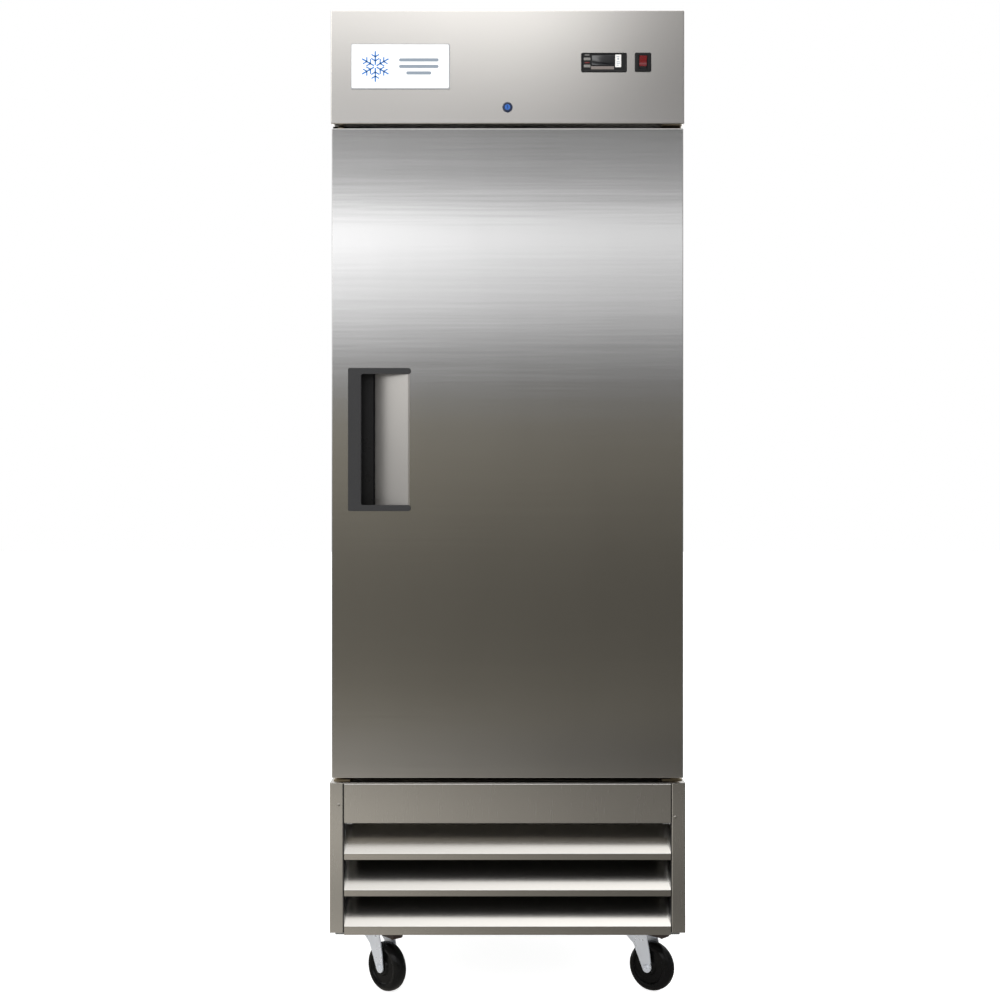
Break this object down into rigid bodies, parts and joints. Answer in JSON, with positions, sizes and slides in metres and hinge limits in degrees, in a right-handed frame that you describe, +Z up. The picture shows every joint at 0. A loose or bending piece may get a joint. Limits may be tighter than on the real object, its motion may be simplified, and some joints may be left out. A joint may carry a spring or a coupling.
{
  "type": "reach-in refrigerator",
  "caption": "Upright commercial reach-in refrigerator with a hinged door and recessed pull, header controls, louvered machine base, wire shelves and swivel casters.",
  "frame": {"origin": "on the floor under the middle of the cabinet", "axes": "+Z up, -Y towards the door, +X to the right as one faces the door"},
  "size_m": [0.737, 0.8278, 2.057],
  "materials": {
    "stainless": "brushed, number 4 grain",
    "galvanised": "galvanised sheet, spangled",
    "zinc": "bright zinc plate",
    "black_plastic": "fine textured moulding",
    "white_panel": "gloss white plate",
    "blue_lock": "blue moulded face",
    "red_rocker": "translucent red",
    "display_lens": "smoked window",
    "gasket_rubber": "soft extruded vinyl",
    "tread_rubber": "hard black rubber",
    "insulation": "foamed in place",
    "liner_aluminium": "stucco aluminium",
    "coated_wire": "epoxy coated",
    "black_enamel": "gloss enamel",
    "coil_fins": "bare fins"
  },
  "bodies": {
    "cabinet": {"back_panel": "galvanised", "badge_plate": "white_panel", "base_deck": "stainless", "base_side_left": "stainless", "base_side_right": "stainless", "base_tray": "galvanised", "cabinet_foam": "insulation", "caster_mount_front_left": "zinc", "caster_mount_front_right": "zinc", "caster_mount_rear_left": "zinc", "caster_mount_rear_right": "zinc", "compressor": "black_enamel", "condenser_coil": "coil_fins", "cord_gland": "black_plastic", "evaporator_coil": "coil_fins", "evaporator_cover": "liner_aluminium", "face_frame": "stainless", "grille_frame": "stainless", "header_cover": "stainless", "hinge_bracket_bottom": "zinc", "hinge_bracket_top": "zinc", "inner_liner": "liner_aluminium", "lock_barrel": "blue_lock", "louver_bottom": "stainless", "louver_middle": "stainless", "louver_top": "stainless", "outer_shell": "stainless", "pilaster_front_left": "stainless", "pilaster_front_right": "stainless", "pilaster_rear_left": "stainless", "pilaster_rear_right": "stainless", "rear_grille": "galvanised", "shelf_lower": "coated_wire", "shelf_middle": "coated_wire", "shelf_upper": "coated_wire", "switch_housing": "black_plastic", "thermostat_housing": "black_plastic", "thermostat_lens": "display_lens"},
    "door": {"door_skin": "stainless", "door_foam": "insulation", "door_liner": "liner_aluminium", "door_gasket": "gasket_rubber", "handle_grip": "black_plastic", "handle_cup": "stainless"},
    "button_up": {"thermostat_button_up": "black_plastic"},
    "button_down": {"thermostat_button_down": "black_plastic"},
    "rocker": {"switch_rocker": "red_rocker"},
    "lock_cylinder": {"lock_plug": "blue_lock"},
    "evaporator_blades": {"evaporator_fan": "black_plastic"},
    "condenser_blades": {"condenser_fan": "black_plastic"},
    "fork_front_left": {"caster_fork_front_left": "zinc"},
    "wheel_front_left": {"caster_wheel_front_left": "tread_rubber"},
    "fork_front_right": {"caster_fork_front_right": "zinc"},
    "wheel_front_right": {"caster_wheel_front_right": "tread_rubber"},
    "fork_rear_left": {"caster_fork_rear_left": "zinc"},
    "wheel_rear_left": {"caster_wheel_rear_left": "tread_rubber"},
    "fork_rear_right": {"caster_fork_rear_right": "zinc"},
    "wheel_rear_right": {"caster_wheel_rear_right": "tread_rubber"},
    "brake_front_left": {"caster_brake_front_left": "black_plastic"},
    "brake_front_right": {"caster_brake_front_right": "black_plastic"}
  },
  "joints": [
    {"name": "door_hinge", "type": "hinge", "parent": "cabinet", "child": "door", "pos_m": [0.346, -0.37275, 0.468], "axis": [0, 0, 1], "range_deg": [0, 120], "stiffness_Nm_per_rad": 1.5, "springref_deg": -20.05},
    {"name": "thermostat_up_press", "type": "slide", "parent": "cabinet", "child": "button_up", "axis": [0, 1, 0], "range_m": [0, 0.0008], "stiffness_N_per_m": 400, "springref_m": -0.0008},
    {"name": "thermostat_down_press", "type": "slide", "parent": "cabinet", "child": "button_down", "axis": [0, 1, 0], "range_m": [0, 0.0008], "stiffness_N_per_m": 400, "springref_m": -0.0008},
    {"name": "power_rocker", "type": "hinge", "parent": "cabinet", "child": "rocker", "pos_m": [0.2804, -0.41075, 1.9495], "axis": [-1, 0, 0], "range_deg": [0, 20]},
    {"name": "lock_turn", "type": "hinge", "parent": "cabinet", "child": "lock_cylinder", "pos_m": [0, -0.41075, 1.8565], "axis": [0, 1, 0], "range_deg": [0, 90]},
    {"name": "swivel_front_left", "type": "hinge", "parent": "cabinet", "child": "fork_front_left", "pos_m": [-0.28, -0.28675, 0.135], "axis": [0, 0, 1], "continuous": true},
    {"name": "spin_front_left", "type": "hinge", "parent": "fork_front_left", "child": "wheel_front_left", "pos_m": [-0.25613, -0.31235, 0.052], "axis": [0.7314, 0.682, 0], "continuous": true},
    {"name": "brake_front_left_press", "type": "hinge", "parent": "fork_front_left", "child": "brake_front_left", "pos_m": [-0.25818, -0.31015, 0.125], "axis": [0.7314, 0.682, 0], "range_deg": [0, 10], "stiffness_Nm_per_rad": 0.6, "springref_deg": -14.32},
    {"name": "swivel_front_right", "type": "hinge", "parent": "cabinet", "child": "fork_front_right", "pos_m": [0.28, -0.28675, 0.135], "axis": [0, 0, 1], "continuous": true},
    {"name": "spin_front_right", "type": "hinge", "parent": "fork_front_right", "child": "wheel_front_right", "pos_m": [0.30758, -0.3083, 0.052], "axis": [0.6157, 0.788, 0], "continuous": true},
    {"name": "brake_front_right_press", "type": "hinge", "parent": "fork_front_right", "child": "brake_front_right", "pos_m": [0.30522, -0.30645, 0.125], "axis": [0.6157, 0.788, 0], "range_deg": [0, 10], "stiffness_Nm_per_rad": 0.6, "springref_deg": -14.32},
    {"name": "swivel_rear_left", "type": "hinge", "parent": "cabinet", "child": "fork_rear_left", "pos_m": [-0.28, 0.30075, 0.135], "axis": [0, 0, 1], "continuous": true},
    {"name": "spin_rear_left", "type": "hinge", "parent": "fork_rear_left", "child": "wheel_rear_left", "pos_m": [-0.26357, 0.33165, 0.052], "axis": [-0.8829, 0.4695, 0], "continuous": true},
    {"name": "swivel_rear_right", "type": "hinge", "parent": "cabinet", "child": "fork_rear_right", "pos_m": [0.28, 0.30075, 0.135], "axis": [0, 0, 1], "continuous": true},
    {"name": "spin_rear_right", "type": "hinge", "parent": "fork_rear_right", "child": "wheel_rear_right", "pos_m": [0.30342, 0.32676, 0.052], "axis": [-0.7431, 0.6691, 0], "continuous": true},
    {"name": "evaporator_fan_spin", "type": "hinge", "parent": "cabinet", "child": "evaporator_blades", "pos_m": [0, -0.10275, 1.837], "axis": [0, 0, 1], "continuous": true},
    {"name": "condenser_fan_spin", "type": "hinge", "parent": "cabinet", "child": "condenser_blades", "pos_m": [0.14, -0.22475, 0.295], "axis": [0, -1, 0], "continuous": true}
  ]
}
